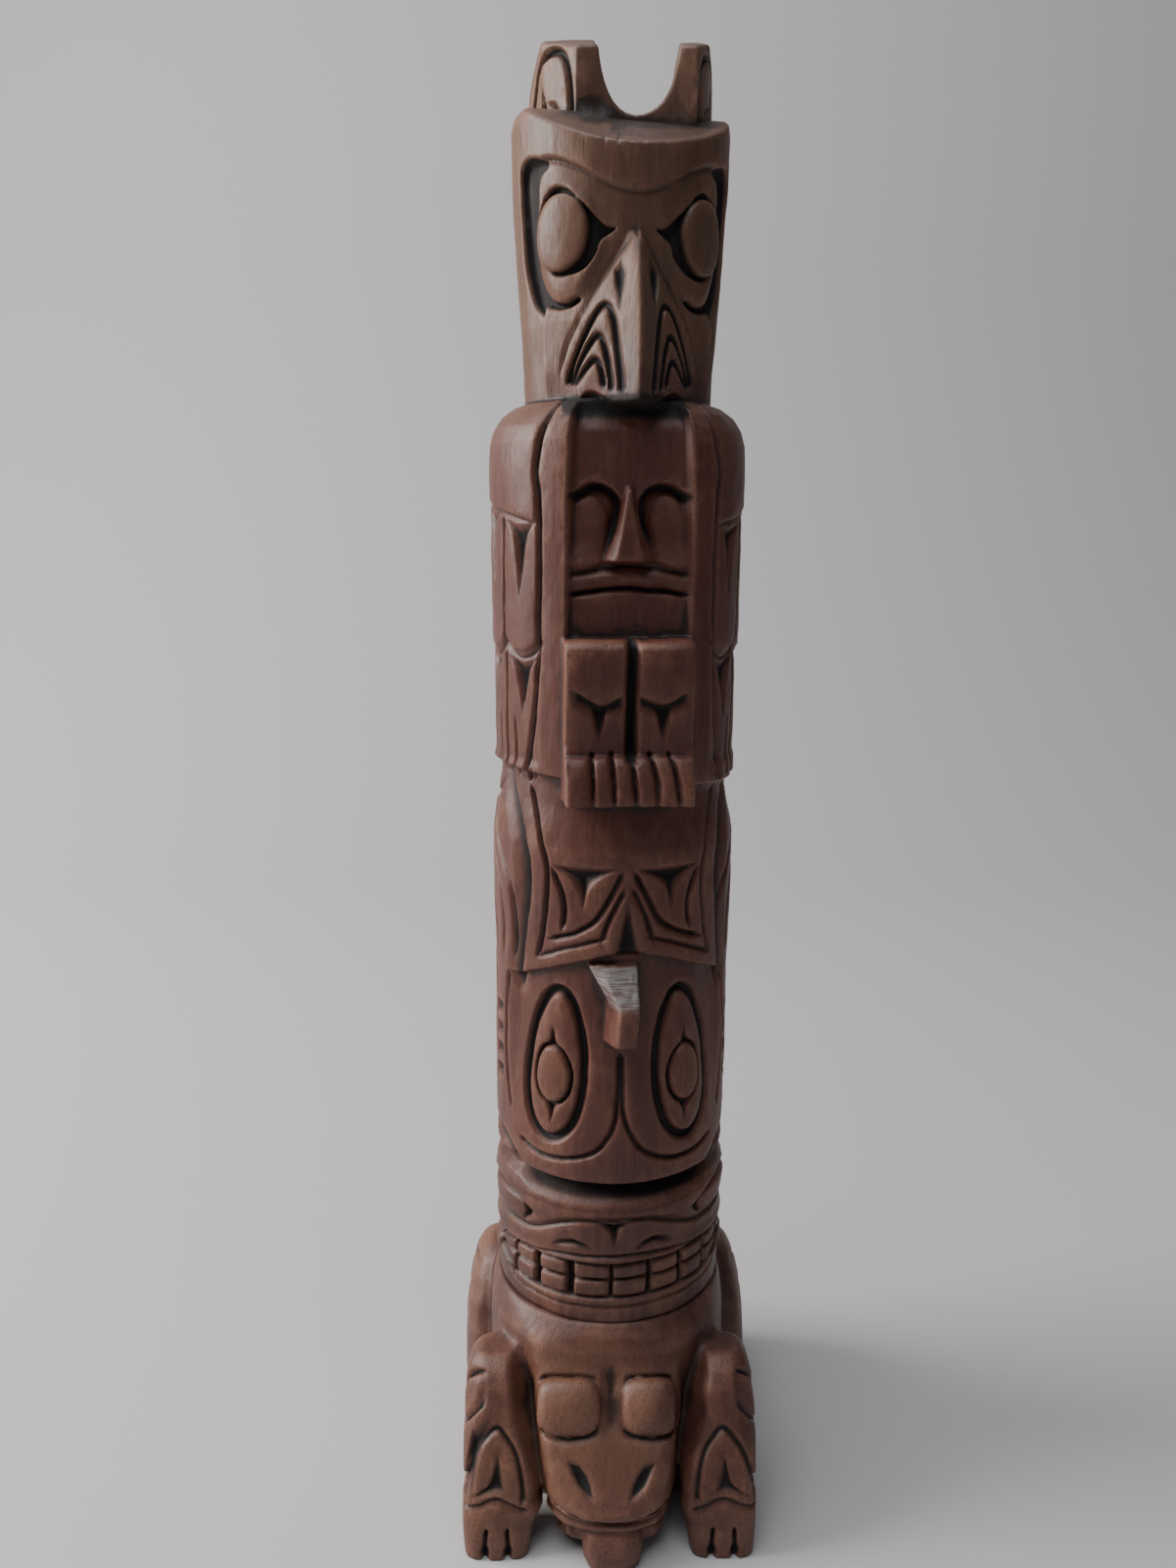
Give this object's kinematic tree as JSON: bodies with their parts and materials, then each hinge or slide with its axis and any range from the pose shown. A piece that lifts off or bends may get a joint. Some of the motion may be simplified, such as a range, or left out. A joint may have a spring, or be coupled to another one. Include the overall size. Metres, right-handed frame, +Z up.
{
  "type": "carved totem pole",
  "caption": "Carved wooden totem pole that stands on its frog base, with stacked bear, whale, seated man and eagle figures.",
  "frame": {"origin": "on the flat underside, under the axis of the round pole", "axes": "+Z up the pole, -Y towards the front where the faces look, +X to the viewer's right"},
  "size_m": [0.1195, 0.1361, 0.531],
  "materials": {
    "stained_wood": "satin reddish-brown stain, darker in the cuts"
  },
  "bodies": {
    "root": {"totem_pole": "stained_wood"}
  },
  "joints": []
}
